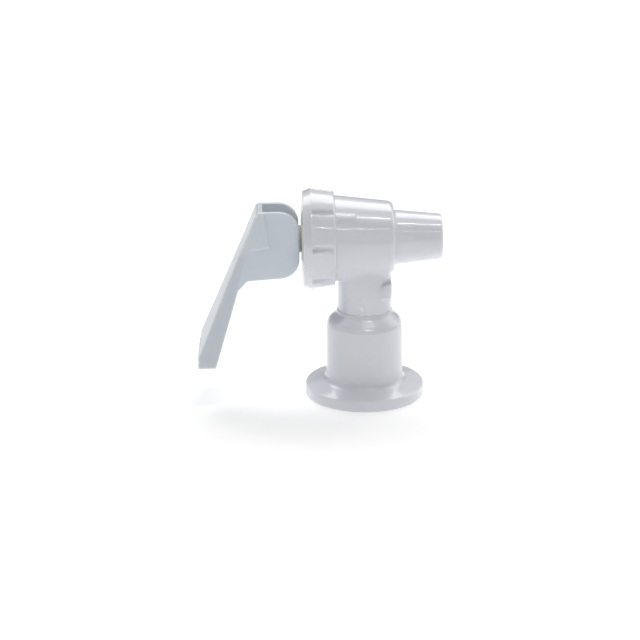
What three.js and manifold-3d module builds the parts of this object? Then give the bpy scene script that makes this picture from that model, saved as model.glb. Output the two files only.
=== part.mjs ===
// Push-lever dispensing tap: a horizontal valve barrel on a vertical neck, with a bell-shaped
// mounting flange, a screwed bonnet and a lever that pulls the valve stem open.
// Lengths are in millimetres. The origin is the centre of the flange's underside, +Z runs up
// the neck and +X runs along the barrel towards the spout.
import * as THREE from 'three';
import { mergeVertices } from 'three/addons/utils/BufferGeometryUtils.js';
import Module from 'manifold-3d';

const wasm = await Module();
wasm.setup();

// ---- clearances ----------------------------------------------------------------------------
const FIT = 0.3; // gap between two pieces that seat on or run in each other
const PAST = 1; // how far a cut runs beyond the face that it opens

// ---- mounting bell -------------------------------------------------------------------------
const FLANGE_RADIUS = 22.5;
const FLANGE_RIM = 4.2; // height of the flange's outer rim
const FLANGE_RISE = 2; // how much the flange's top climbs towards the sleeve
const FLANGE_EDGE = 0.6; // rounding of the rim's edges
const SLEEVE_STEP = 4.35; // how much wider the sleeve is than the neck
const SLEEVE_FILLET = 4; // concave fillet between flange and sleeve
const SLEEVE_DRAFT = 0.35; // how much narrower the sleeve is at its shoulder
const SHOULDER_HEIGHT = 28.4;
const SHOULDER_RISE = 5.5; // from the shoulder to the bell's top land
const SHOULDER_EDGE = 1.2;
const SLEEVE_WALL = 2.15;
const BELL_ROOF = 5.1; // height of the roof that the neck passes through

// ---- neck and inlet ------------------------------------------------------------------------
const NECK_RADIUS = 10;
const NECK_LENGTH = 27.6; // from the bell's top land to the barrel's axis
const NECK_FOOT = 0.35; // how far the neck's foot spreads on to the bell
const NECK_FOOT_HEIGHT = 1.8;
const SPIGOT_STEP = 0.4; // how much narrower the neck is inside the bell
const SPIGOT_RECESS = 5; // how far the spigot ends above the flange's underside
const SOCKET_RADIUS = 5.5; // female thread, 11 mm across
const SOCKET_DEPTH = 18;
const THREAD_PITCH = 2;
const THREAD_HEIGHT = 0.6;
const INLET_RADIUS = 3.8;
const WASHER_THICKNESS = 1.5;
const WASHER_HOLE = 3;
const RING_THICKNESS = 1.2; // retaining ring under the bell's roof
const RING_GROOVE = 0.8;
const RING_GAP = 4.8;
const LUG_HEIGHT = 5.9; // square lug moulded on the spout side of the neck
const LUG_BOTTOM = 5.85; // from the bell's top land
const LUG_SINK = 0.25; // how far its flat face lies inside the neck's side
const LUG_HALF = 8.4;
const LUG_CORNER = 3;

// ---- barrel and spout ----------------------------------------------------------------------
const BARREL_RADIUS = 16.1; // beside the bonnet
const BARREL_TAPER = 2.65; // how much narrower it is at the spout end
const BARREL_CORNER = 2;
const BARREL_LEAD = 1.3; // from the neck's side to the barrel's shoulder
const BARREL_TAIL = 0.8; // from the neck's side to the barrel's spout end
const COLLAR_STEP = 1.3; // how much narrower the threaded collar inside the bonnet is
const COLLAR_LENGTH = 8.2;
const COLLAR_WALL = 3.3; // between the collar and the valve chamber
const END_WALL = 3.8;
const SEAT_RADIUS = 7; // raised lip that the cup closes on
const SEAT_HEIGHT = 0.8;
const SPOUT_LENGTH = 17.95;
const SPOUT_ROOT_RADIUS = 10.27;
const SPOUT_TIP_RADIUS = 8.45;
const SPOUT_EDGE = 0.5;
const OUTLET_RADIUS = 5; // inside of the seat's lip
const SPOUT_WALL = 2.05; // at the spout's tip
const TIP_BORE_DEPTH = 8.6;
const MARK_LENGTH = 7.2; // moulded ribs beside the bonnet
const MARK_WIDTH = 1.2;
const MARK_HEIGHT = 0.8;
const MARK_ANGLE = 46; // degrees above the horizontal, one on each side
const VANE = 0.9; // thickness of the flow straightener's ring and vanes
const STRAIGHTENER_LENGTH = 5;

// ---- bonnet --------------------------------------------------------------------------------
const BONNET_STEP = 1.5; // how much wider its rear is than the barrel
const BONNET_TAPER = 1.07; // how much wider still it is at the front
const BONNET_CHAMFER = 3.1; // length of the tapered front edge
const BONNET_EDGE = 1.6; // how much narrower its front face is
const BONNET_LIP = 1; // plain band at the rear
const BONNET_WALL = 3.3;
const BONNET_DOME = 1; // how far the flat middle of its face stands proud
const BONNET_LAND = 10.5; // radius of that flat middle
const BUSH_WALL = 0.9; // stem's guide bush, pressed into the bonnet
const BUSH_FLANGE_RADIUS = 5.1;
const BUSH_FLANGE = 2.3;
const GROOVES = 8;
const GROOVE_WIDTH = 3.3;
const GROOVE_DEPTH = 0.3; // at the rear; the floor runs level, so it deepens to the front
const GROOVE_TURN = 3; // degrees that the first groove sits above the horizontal

// ---- valve ---------------------------------------------------------------------------------
const STEM_RADIUS = 2.2;
const STEM_HEAD_RADIUS = 3.6;
const STEM_HEAD = 2.2;
const EYE_RADIUS = 4.2;
const PIN_RADIUS = 1.5;
const CUP_RIM = 0.8; // silicone rim clamped between collar and bonnet
const CUP_RIM_STEP = 0.5; // how much narrower the rim is than the collar
const CUP_WALL = 1;
const WATERWAY = 2.5; // round the cup, inside the chamber
const CUP_NOSE = 1.2;
const RETAINER_RADIUS = 5;
const RETAINER_WALL = 3.1; // closed end of the retainer, behind the stem's head
const RETAINER_NECK = 3.5; // open end, in front of the stem's head
const RETAINER_FLANGE = 1.8;
const SPRING_RADIUS = 5.6; // to the middle of the wire
const SPRING_WIRE = 0.9;
const SPRING_TURNS = 6;

// ---- lever ---------------------------------------------------------------------------------
const CAM_REACH = 8.5; // from the pivot to the flat cam faces
const CHEEK_TOP = 12.3; // heights above the pivot
const CHEEK_BOTTOM = -13.3;
const CHEEK_DROP = 0.8; // how much lower the cheek's bottom edge is beside the paddle
const CHEEK_ROOT = -10.3; // where that edge turns down into the paddle
const CHEEK_FILLET = 3.4; // how far below the cheek that turn ends
const CHEEK_CORNER = 7.6;
const HEEL_RADIUS = 7.4; // lower cam corner, which pushes on the bonnet
const CHEEK_HALF = 7.75; // outside of the cheeks, from the middle plane
const CHEEK_WALL = 2;
const PLATE_STEP = 0.4; // how far the paddle's side plate stands proud of a cheek
const PIN_SINK = 0.95; // how far each end of the pin goes into its cheek
const PADDLE_TOP = 12;
const PADDLE_FRONT = -7.15; // outer face at the paddle's top
const PADDLE_LEAN = Math.tan(THREE.MathUtils.degToRad(23));
const PADDLE_CREASE = -40.8;
const PADDLE_TIP = -45.5;
const TIP_LEAN = 0.11;
const TIP_HALF = 16.3;
const FLARE_START = -4;
const PADDLE_WALL = 2;
const BACK_TIP = -23.3; // rear edge of the side flanges at the tip
const BACK_LEAN = 0.31;
const LEDGE = -1.3; // lower edge of the raised side plate
const PLATE_BACK = [-4.1, -2.5]; // rear edge of that plate, at its top and at the ledge
const RAMP_INSET = 0.5; // beside the cheeks, the flange's rear edge slopes in to the cheek
const RAMP_TOP = 1.8; // how far that slope reaches behind the edge, at the ledge
const RAMP_BOTTOM = 2.9; // and at the cheek's bottom
const GRIP_RIBS = 5;
const GRIP_RIB_WIDTH = 1.4;
const GRIP_RIB_PITCH = 4.4;
const GRIP_RIB_HEIGHT = 0.3;
const GRIP_RIB_MARGIN = 0.8; // from a rib's ends to the ends of the tip's outer face

// ---- places worked out from the sizes --------------------------------------------------------
const SPIGOT_RADIUS = NECK_RADIUS - SPIGOT_STEP;
const SLEEVE_RADIUS = NECK_RADIUS + SLEEVE_STEP;
const SLEEVE_INSIDE = SLEEVE_RADIUS - SLEEVE_WALL;
const BARREL_END_RADIUS = BARREL_RADIUS - BARREL_TAPER;
const COLLAR_RADIUS = BARREL_RADIUS - COLLAR_STEP;
const CHAMBER_RADIUS = COLLAR_RADIUS - COLLAR_WALL;
const TIP_BORE_RADIUS = SPOUT_TIP_RADIUS - SPOUT_WALL;
const BONNET_REAR_RADIUS = BARREL_RADIUS + BONNET_STEP;
const BONNET_RADIUS = BONNET_REAR_RADIUS + BONNET_TAPER;
const GROOVE_FLOOR_RADIUS = BONNET_REAR_RADIUS - GROOVE_DEPTH;
const CUP_RIM_RADIUS = COLLAR_RADIUS - CUP_RIM_STEP;
const CUP_RADIUS = CHAMBER_RADIUS - WATERWAY; // outside of the cup's sleeve
const CUP_INSIDE = CUP_RADIUS - CUP_WALL;
const SLOT_HALF = CHEEK_HALF - CHEEK_WALL;
const PLATE_HALF = CHEEK_HALF + PLATE_STEP;
const PIN_HALF = SLOT_HALF + PIN_SINK;
const BELL_TOP = SHOULDER_HEIGHT + SHOULDER_RISE;
const AXIS = BELL_TOP + NECK_LENGTH;
const NECK_TO_BONNET = NECK_RADIUS + BARREL_LEAD;
const BARREL_END = NECK_RADIUS + BARREL_TAIL;
const LUG_X = NECK_RADIUS - LUG_SINK;
const SPOUT_TIP = BARREL_END + SPOUT_LENGTH;
const COLLAR_X = -NECK_TO_BONNET - COLLAR_LENGTH;
const BONNET_REAR = -NECK_TO_BONNET - FIT;
const BONNET_INSIDE = COLLAR_X - FIT - CUP_RIM - FIT;
const BONNET_FACE = BONNET_INSIDE - BONNET_WALL;
const CAM_FACE = BONNET_FACE - FIT;
const PIVOT = CAM_FACE - CAM_REACH;
const CHAMBER_END = BARREL_END - END_WALL;
const NOSE_X = CHAMBER_END - SEAT_HEIGHT - FIT;
const RETAINER_END = NOSE_X - CUP_NOSE - FIT;
const HEAD_END = RETAINER_END - RETAINER_WALL - FIT;
const HEAD_START = HEAD_END - STEM_HEAD;
const RETAINER_START = HEAD_START - FIT - RETAINER_NECK;
const RETAINER_STEP = RETAINER_START + RETAINER_FLANGE;
const SOCKET_TOP = SPIGOT_RECESS + SOCKET_DEPTH;
const RING_TOP = BELL_TOP - BELL_ROOF - FIT;
const BUSH_RADIUS = STEM_RADIUS + FIT + BUSH_WALL;

// ---- helpers -------------------------------------------------------------------------------
const AROUND = 48; // facets round the large turned pieces
const AROUND_SMALL = 24;
const ALONG_X = new THREE.Matrix4().makeRotationZ(-Math.PI / 2); // turns a lathe to run along X
const ALONG_Y = new THREE.Matrix4(); // a lathe already runs along Y
const ALONG_Z = new THREE.Matrix4().makeRotationX(Math.PI / 2); // and along Z

/** A manifold solid from a closed three.js geometry. */
function solid(geometry) {
  const bare = geometry.clone();
  bare.deleteAttribute('normal');
  bare.deleteAttribute('uv');
  const merged = mergeVertices(bare, 1e-4);
  const corners = merged.index.array;
  const kept = [];
  for (let i = 0; i < corners.length; i += 3) {
    const [a, b, c] = corners.slice(i, i + 3);
    if (a !== b && b !== c && c !== a) kept.push(a, b, c);
  }
  const vertProperties = new Float32Array(merged.getAttribute('position').array);
  return new wasm.Manifold(new wasm.Mesh({ numProp: 3, vertProperties, triVerts: new Uint32Array(kept) }));
}

/** A point list that rounds a corner of an outline: centre, radius, first and last angle. */
function arc(x, y, radius, from, to, steps = 6) {
  return Array.from({ length: steps + 1 }, (_, i) => {
    const angle = THREE.MathUtils.degToRad(from + ((to - from) * i) / steps);
    return [x + radius * Math.cos(angle), y + radius * Math.sin(angle)];
  });
}

/** A solid turned round an axis from [radius, distance along the axis] points. */
function turned(points, axis = ALONG_Z, around = AROUND) {
  const profile = points.map(([r, h]) => new THREE.Vector2(r, h));
  return solid(new THREE.LatheGeometry(profile, around).applyMatrix4(axis));
}

/** A plain rod between two distances along an axis. */
function rod(radius, from, to, axis = ALONG_Z, around = AROUND_SMALL) {
  return turned([[0, from], [radius, from], [radius, to], [0, to]], axis, around);
}

/** A flat or tubular ring. */
function ring(inner, outer, from, to, axis = ALONG_Z, around = AROUND_SMALL) {
  const corners = [[inner, from], [outer, from], [outer, to], [inner, to], [inner, from]];
  return turned(corners, axis, around);
}

/** A box between two corners. */
function block([x0, y0, z0], [x1, y1, z1]) {
  const box = new THREE.BoxGeometry(x1 - x0, y1 - y0, z1 - z0);
  return solid(box.translate((x0 + x1) / 2, (y0 + y1) / 2, (z0 + z1) / 2));
}

/** A side-view outline of [x, z] points, made as wide as 2 * half across Y. */
function slab(points, half) {
  const shape = new THREE.Shape(points.map(([x, z]) => new THREE.Vector2(x, z)));
  const plate = new THREE.ExtrudeGeometry(shape, { depth: 2 * half, bevelEnabled: false });
  return solid(plate.rotateX(Math.PI / 2).translate(0, half, 0));
}

/** A solid through a stack of plan outlines, each a list of [x, y] points at a height z. */
function stack(levels) {
  const count = levels[0].points.length;
  const position = levels.flatMap(({ z, points }) => points.flatMap(([x, y]) => [x, y, z]));
  const index = [];
  for (let row = 0; row + 1 < levels.length; row += 1) {
    for (let i = 0; i < count; i += 1) {
      const a = row * count + i;
      const b = row * count + ((i + 1) % count);
      index.push(a, b, b + count, a, b + count, a + count);
    }
  }
  const top = (levels.length - 1) * count;
  for (let i = 1; i + 1 < count; i += 1) {
    index.push(0, i + 1, i, top, top + i, top + i + 1);
  }
  const geometry = new THREE.BufferGeometry();
  geometry.setAttribute('position', new THREE.Float32BufferAttribute(position, 3));
  geometry.setIndex(index);
  return solid(geometry);
}

/** A plan rectangle for stack(), the same on both sides of the middle plane. */
function level(z, front, back, half) {
  return { z, points: [[front, -half], [back, -half], [back, half], [front, half]] };
}

/** A round wire along a helix about X. */
function coil(radius, wire, from, to, turns) {
  class Helix extends THREE.Curve {
    getPoint(t) {
      const angle = 2 * Math.PI * turns * t;
      const x = from + (to - from) * t;
      return new THREE.Vector3(x, radius * Math.cos(angle), radius * Math.sin(angle));
    }
  }
  const section = new THREE.Shape(arc(0, 0, wire / 2, 0, 300, 5).map((p) => new THREE.Vector2(...p)));
  const options = { steps: turns * 14, bevelEnabled: false, extrudePath: new Helix() };
  return solid(new THREE.ExtrudeGeometry(section, options));
}

/** The three.js mesh of a solid. */
function mesh(name, body, { color, roughness = 0.4, metalness = 0 }) {
  const data = body.getMesh();
  const geometry = new THREE.BufferGeometry();
  geometry.setAttribute('position', new THREE.Float32BufferAttribute(data.vertProperties, 3));
  geometry.setIndex(Array.from(data.triVerts));
  geometry.computeVertexNormals();
  const piece = new THREE.Mesh(geometry, new THREE.MeshStandardMaterial({ color, roughness, metalness }));
  piece.name = name;
  return piece;
}

// ---- materials -------------------------------------------------------------------------------
const WHITE_PLASTIC = { color: 0xf1f1f2, roughness: 0.35 };
const LEVER_PLASTIC = { color: 0xeef1f6, roughness: 0.35 };
const ACETAL = { color: 0xe9e6dc, roughness: 0.45 };
const SILICONE = { color: 0xdedfe0, roughness: 0.6 };
const RUBBER = { color: 0x2a2a2c, roughness: 0.7 };
const STAINLESS = { color: 0xb9bcc0, roughness: 0.25, metalness: 1 };

// ---- pieces ----------------------------------------------------------------------------------

/** Bell-shaped flange that stands against the container's wall and slips over the neck. */
function mountingBell() {
  const rimTop = FLANGE_RIM - FLANGE_EDGE;
  const filletFoot = SLEEVE_RADIUS + SLEEVE_FILLET;
  const flangeTop = FLANGE_RIM + FLANGE_RISE;
  const hole = SPIGOT_RADIUS + FIT;
  return turned([
    [SLEEVE_INSIDE, 0],
    [FLANGE_RADIUS - FLANGE_EDGE, 0],
    [FLANGE_RADIUS, FLANGE_EDGE],
    ...arc(FLANGE_RADIUS - FLANGE_EDGE, rimTop, FLANGE_EDGE, 0, 75, 3),
    ...arc(filletFoot, flangeTop + SLEEVE_FILLET, SLEEVE_FILLET, 260, 180, 6),
    [SLEEVE_RADIUS - SLEEVE_DRAFT, SHOULDER_HEIGHT],
    [SLEEVE_RADIUS - SLEEVE_DRAFT - SHOULDER_EDGE / 3, SHOULDER_HEIGHT + SHOULDER_EDGE],
    [NECK_RADIUS + 2.5 * NECK_FOOT, BELL_TOP - SHOULDER_EDGE],
    [NECK_RADIUS + NECK_FOOT, BELL_TOP],
    [hole, BELL_TOP],
    [hole, BELL_TOP - BELL_ROOF],
    [SLEEVE_INSIDE, BELL_TOP - BELL_ROOF],
    [SLEEVE_INSIDE, 0],
  ]);
}

/** Ridge of the inlet's female thread. */
function thread() {
  const turns = (SOCKET_DEPTH - WASHER_THICKNESS) / THREAD_PITCH - 2;
  const start = SPIGOT_RECESS + THREAD_PITCH / 2;
  class Helix extends THREE.Curve {
    getPoint(t) {
      const angle = 2 * Math.PI * turns * t;
      const z = start + turns * THREAD_PITCH * t;
      return new THREE.Vector3(SOCKET_RADIUS * Math.cos(angle), SOCKET_RADIUS * Math.sin(angle), z);
    }
  }
  const section = new THREE.Shape(arc(0, 0, THREAD_HEIGHT, 0, 270, 3).map((p) => new THREE.Vector2(...p)));
  const options = { steps: Math.round(turns * 16), bevelEnabled: false, extrudePath: new Helix() };
  return solid(new THREE.ExtrudeGeometry(section, options));
}

/** Body: barrel with spout, neck, spigot with a threaded inlet, valve seat and water ways. */
function tapBody() {
  const corner = BARREL_CORNER;
  const outside = turned([
    [0, COLLAR_X],
    [COLLAR_RADIUS, COLLAR_X],
    [COLLAR_RADIUS, -NECK_TO_BONNET],
    [BARREL_RADIUS, -NECK_TO_BONNET],
    ...arc(BARREL_END_RADIUS - corner, BARREL_END - corner, corner, 0, 90, 4),
    [SPOUT_ROOT_RADIUS, BARREL_END],
    [SPOUT_TIP_RADIUS, SPOUT_TIP - SPOUT_EDGE],
    [SPOUT_TIP_RADIUS - SPOUT_EDGE, SPOUT_TIP],
    [0, SPOUT_TIP],
  ], ALONG_X).translate([0, 0, AXIS]);
  const foot = BELL_TOP + FIT;
  const neck = turned([
    [0, SPIGOT_RECESS],
    [SPIGOT_RADIUS, SPIGOT_RECESS],
    [SPIGOT_RADIUS, RING_TOP - RING_THICKNESS - FIT],
    [SPIGOT_RADIUS - RING_GROOVE, RING_TOP - RING_THICKNESS - FIT],
    [SPIGOT_RADIUS - RING_GROOVE, RING_TOP + FIT],
    [SPIGOT_RADIUS, RING_TOP + FIT],
    [SPIGOT_RADIUS, foot],
    [NECK_RADIUS + NECK_FOOT, foot],
    [NECK_RADIUS + NECK_FOOT / 3, foot + NECK_FOOT_HEIGHT / 2],
    [NECK_RADIUS, foot + NECK_FOOT_HEIGHT],
    [NECK_RADIUS, AXIS],
    [0, AXIS],
  ]);
  const lugBottom = BELL_TOP + LUG_BOTTOM;
  const lugTop = lugBottom + LUG_HEIGHT;
  const lug = slab([
    [LUG_X - LUG_HALF / 2, lugBottom],
    [LUG_X, lugBottom],
    [LUG_X, lugTop],
    ...arc(LUG_X - LUG_HALF / 2 + LUG_CORNER, lugTop - LUG_CORNER, LUG_CORNER, 90, 180, 4),
  ], LUG_HALF);
  let body = outside.add(neck).add(lug);
  for (const side of [-1, 1]) {
    const mark = block(
      [-NECK_TO_BONNET, -MARK_WIDTH / 2, BARREL_RADIUS - 2 * MARK_HEIGHT],
      [-NECK_TO_BONNET + MARK_LENGTH, MARK_WIDTH / 2, BARREL_RADIUS + MARK_HEIGHT / 2],
    );
    body = body.add(mark.rotate([side * (90 - MARK_ANGLE), 0, 0]).translate([0, 0, AXIS]));
  }
  const chamber = turned([
    [0, COLLAR_X - PAST],
    [CHAMBER_RADIUS, COLLAR_X - PAST],
    [CHAMBER_RADIUS, CHAMBER_END],
    [SEAT_RADIUS, CHAMBER_END],
    [SEAT_RADIUS, CHAMBER_END - SEAT_HEIGHT],
    [OUTLET_RADIUS, CHAMBER_END - SEAT_HEIGHT],
    [OUTLET_RADIUS, SPOUT_TIP - TIP_BORE_DEPTH],
    [TIP_BORE_RADIUS, SPOUT_TIP - TIP_BORE_DEPTH],
    [TIP_BORE_RADIUS, SPOUT_TIP + PAST],
    [0, SPOUT_TIP + PAST],
  ], ALONG_X).translate([0, 0, AXIS]);
  const inlet = rod(INLET_RADIUS, SPIGOT_RECESS, AXIS - CUP_RADIUS);
  const socket = rod(SOCKET_RADIUS, SPIGOT_RECESS - PAST, SOCKET_TOP).subtract(thread());
  return body.subtract(chamber).subtract(inlet).subtract(socket);
}

/** Split ring in the spigot's groove, which keeps the bell on the neck. */
function bellRetainingRing() {
  const inner = SPIGOT_RADIUS - RING_GROOVE + FIT;
  const outer = SLEEVE_INSIDE - 2 * FIT;
  const gap = block([0, -RING_GAP / 2, 0], [SLEEVE_RADIUS, RING_GAP / 2, BELL_TOP]);
  return ring(inner, outer, RING_TOP - RING_THICKNESS, RING_TOP, ALONG_Z, AROUND).subtract(gap);
}

/** Flat washer that the container's stud presses on at the top of the inlet thread. */
function inletWasher() {
  const top = SOCKET_TOP - FIT;
  return ring(WASHER_HOLE, SOCKET_RADIUS - FIT, top - WASHER_THICKNESS, top);
}

/** Ring with crossed vanes inside the spout's tip. */
function flowStraightener() {
  const start = SPOUT_TIP - TIP_BORE_DEPTH + FIT;
  const end = start + STRAIGHTENER_LENGTH;
  const outer = TIP_BORE_RADIUS - FIT;
  const reach = outer - VANE / 2;
  const shell = ring(outer - VANE, outer, start, end, ALONG_X);
  const upright = block([start, -VANE / 2, -reach], [end, VANE / 2, reach]);
  const crossing = block([start, -reach, -VANE / 2], [end, reach, VANE / 2]);
  return shell.add(upright).add(crossing).translate([0, 0, AXIS]);
}

/** Screwed cap over the valve chamber, with grip grooves round it. */
function bonnet() {
  const rim = BONNET_FACE + BONNET_DOME;
  const front = rim + BONNET_CHAMFER;
  const inside = COLLAR_RADIUS + FIT;
  const hole = BUSH_RADIUS + FIT;
  let cap = turned([
    [hole, BONNET_FACE],
    [BONNET_LAND, BONNET_FACE],
    [BONNET_RADIUS - BONNET_EDGE - 1, rim],
    [BONNET_RADIUS - BONNET_EDGE / 1.5, rim + BONNET_EDGE / 2],
    [BONNET_RADIUS, front],
    [BONNET_REAR_RADIUS, BONNET_REAR - BONNET_LIP],
    [BONNET_REAR_RADIUS - BONNET_LIP / 2, BONNET_REAR],
    [inside, BONNET_REAR],
    [inside, BONNET_INSIDE],
    [hole, BONNET_INSIDE],
    [hole, BONNET_FACE],
  ], ALONG_X);
  const half = GROOVE_WIDTH / 2;
  const length = BONNET_REAR - BONNET_LIP - front;
  const outline = [[length, -half], [length, half], ...arc(0, 0, half, 90, 270)];
  const shape = new THREE.Shape(outline.map(([x, y]) => new THREE.Vector2(x + front + half / 2, y)));
  const cutter = new THREE.ExtrudeGeometry(shape, { depth: BONNET_RADIUS, bevelEnabled: false });
  const groove = solid(cutter.translate(0, 0, GROOVE_FLOOR_RADIUS));
  for (let i = 0; i < GROOVES; i += 1) {
    cap = cap.subtract(groove.rotate([90 - GROOVE_TURN + (360 * i) / GROOVES, 0, 0]));
  }
  return cap.translate([0, 0, AXIS]);
}

/** Guide bush in the middle of the bonnet, with a flange outside between the lever's cheeks. */
function stemBush() {
  const hole = STEM_RADIUS + FIT;
  const seat = BONNET_FACE - FIT;
  return turned([
    [hole, seat - BUSH_FLANGE],
    [BUSH_FLANGE_RADIUS, seat - BUSH_FLANGE],
    [BUSH_FLANGE_RADIUS, seat],
    [BUSH_RADIUS, seat],
    [BUSH_RADIUS, BONNET_INSIDE],
    [hole, BONNET_INSIDE],
    [hole, seat - BUSH_FLANGE],
  ], ALONG_X, AROUND_SMALL).translate([0, 0, AXIS]);
}

/** Stem with a cross eye for the pivot pin and a head that turns inside the spring retainer. */
function valveStem() {
  const shaft = turned([
    [0, PIVOT],
    [STEM_RADIUS, PIVOT],
    [STEM_RADIUS, HEAD_START],
    [STEM_HEAD_RADIUS, HEAD_START],
    [STEM_HEAD_RADIUS, HEAD_END],
    [0, HEAD_END],
  ], ALONG_X, AROUND_SMALL);
  const half = SLOT_HALF - FIT;
  const eye = rod(EYE_RADIUS, -half, half, ALONG_Y).translate([PIVOT, 0, 0]);
  const bore = rod(PIN_RADIUS + FIT, -half - PAST, half + PAST, ALONG_Y).translate([PIVOT, 0, 0]);
  return shaft.add(eye).subtract(bore).translate([0, 0, AXIS]);
}

/** Pin through the stem's eye, snapped into blind sockets inside the cheeks. */
function pivotPin() {
  return rod(PIN_RADIUS, -PIN_HALF, PIN_HALF, ALONG_Y).translate([PIVOT, 0, AXIS]);
}

/** Plug inside the silicone cup: the spring pushes on its flange and it holds the stem's head. */
function springRetainer() {
  const hole = STEM_RADIUS + FIT;
  const pocket = STEM_HEAD_RADIUS + FIT;
  const flange = CUP_INSIDE - 2 * FIT;
  return turned([
    [hole, RETAINER_START],
    [flange, RETAINER_START],
    [flange, RETAINER_STEP],
    [RETAINER_RADIUS, RETAINER_STEP],
    [RETAINER_RADIUS, RETAINER_END],
    [0, RETAINER_END],
    [0, HEAD_END + FIT],
    [pocket, HEAD_END + FIT],
    [pocket, HEAD_START - FIT],
    [hole, HEAD_START - FIT],
    [hole, RETAINER_START],
  ], ALONG_X, AROUND_SMALL).translate([0, 0, AXIS]);
}

/** Silicone seat cup: a clamped rim, a rolling sleeve and the nose that closes the seat. */
function seatCup() {
  const rim = COLLAR_X - FIT;
  const step = RETAINER_STEP + FIT;
  return turned([
    [CUP_INSIDE, rim - CUP_RIM],
    [CUP_RIM_RADIUS, rim - CUP_RIM],
    [CUP_RIM_RADIUS, rim],
    [CUP_RADIUS, rim],
    [CUP_RADIUS, step + CUP_WALL],
    [SEAT_RADIUS, NOSE_X - CUP_NOSE],
    [SEAT_RADIUS - FIT, NOSE_X],
    [0, NOSE_X],
    [0, NOSE_X - CUP_NOSE],
    [RETAINER_RADIUS + FIT, NOSE_X - CUP_NOSE],
    [RETAINER_RADIUS + FIT, step],
    [CUP_INSIDE, step],
    [CUP_INSIDE, rim - CUP_RIM],
  ], ALONG_X).translate([0, 0, AXIS]);
}

/** Compression spring between the bonnet and the retainer's flange. */
function closingSpring() {
  const play = FIT + SPRING_WIRE / 2;
  const wire = coil(SPRING_RADIUS, SPRING_WIRE, BONNET_INSIDE + play, RETAINER_START - play, SPRING_TURNS);
  return wire.translate([0, 0, AXIS]);
}

/** Lever: two cheeks with cam ends, and a paddle that leans out and flares to its tip. */
function lever() {
  const face = (z) => PADDLE_FRONT - PADDLE_LEAN * (PADDLE_TOP - z);
  const back = (z) => BACK_TIP + BACK_LEAN * (z - PADDLE_TIP);
  const flare = (TIP_HALF - PLATE_HALF) / (FLARE_START - PADDLE_TIP);
  const half = (z) => PLATE_HALF + flare * Math.max(0, FLARE_START - z);
  const tipAt = (z) => face(PADDLE_CREASE) - TIP_LEAN * (PADDLE_CREASE - z);
  const wall = PADDLE_WALL * Math.hypot(1, PADDLE_LEAN);
  const foot = CHEEK_BOTTOM - CHEEK_FILLET;
  const side = (z, ramp = 0, inset = 0) => {
    const edge = back(z) - inset;
    const near = [[face(z), -half(z)], [edge, -half(z)], [back(z) + ramp, -CHEEK_HALF]];
    return { z, points: [...near, ...near.map(([x, y]) => [x, -y]).reverse()] };
  };
  const cheeks = slab([
    [face(foot) + wall / 2, foot],
    [back(foot), foot],
    [CHEEK_ROOT, CHEEK_BOTTOM - CHEEK_DROP],
    ...arc(CAM_REACH - HEEL_RADIUS, CHEEK_BOTTOM + HEEL_RADIUS, HEEL_RADIUS, 270, 360),
    ...arc(CAM_REACH - CHEEK_CORNER, CHEEK_TOP - CHEEK_CORNER, CHEEK_CORNER, 0, 90),
    [PADDLE_FRONT + wall, CHEEK_TOP],
    [PADDLE_FRONT + wall / 2, PADDLE_TOP - wall / 2],
  ], CHEEK_HALF);
  const plate = stack([
    level(LEDGE, face(LEDGE), PLATE_BACK[1], PLATE_HALF),
    level(PADDLE_TOP, face(PADDLE_TOP), PLATE_BACK[0], PLATE_HALF),
  ]);
  const tip = side(PADDLE_TIP);
  tip.points[0][0] = tipAt(PADDLE_TIP);
  tip.points[5][0] = tipAt(PADDLE_TIP);
  const paddle = stack([
    tip,
    side(PADDLE_CREASE),
    side(foot),
    side(CHEEK_BOTTOM, RAMP_BOTTOM, RAMP_INSET),
    side(FLARE_START, RAMP_TOP, RAMP_INSET),
    side(LEDGE, RAMP_TOP, RAMP_INSET),
  ]);
  const beyond = CAM_REACH + PAST;
  const slot = stack([
    level(PADDLE_TIP + PADDLE_WALL, face(PADDLE_TIP) + 2 * wall, beyond, half(PADDLE_TIP) - PADDLE_WALL),
    level(PADDLE_CREASE, face(PADDLE_CREASE) + wall, beyond, half(PADDLE_CREASE) - PADDLE_WALL),
    level(foot, face(foot) + wall, beyond, half(foot) - PADDLE_WALL),
    level(CHEEK_BOTTOM, face(CHEEK_BOTTOM) + wall, beyond, SLOT_HALF),
    level(CHEEK_TOP + PAST, face(CHEEK_TOP + PAST) + wall, beyond, SLOT_HALF),
  ]);
  let body = cheeks.add(plate).add(paddle).subtract(slot);
  const socket = PIN_HALF + FIT;
  body = body.subtract(rod(PIN_RADIUS + FIT, -socket, socket, ALONG_Y));
  const ribTop = PADDLE_CREASE - GRIP_RIB_MARGIN;
  const ribFoot = PADDLE_TIP + GRIP_RIB_MARGIN;
  for (let i = 0; i < GRIP_RIBS; i += 1) {
    const middle = (i - (GRIP_RIBS - 1) / 2) * GRIP_RIB_PITCH;
    const section = (z) => {
      const near = [tipAt(z) - GRIP_RIB_HEIGHT, middle - GRIP_RIB_WIDTH / 2];
      const far = [tipAt(z) + wall / 2, middle + GRIP_RIB_WIDTH / 2];
      return { z, points: [near, [far[0], near[1]], far, [near[0], far[1]]] };
    };
    body = body.add(stack([section(ribFoot), section(ribTop)]));
  }
  return body.translate([PIVOT, 0, AXIS]);
}

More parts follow.
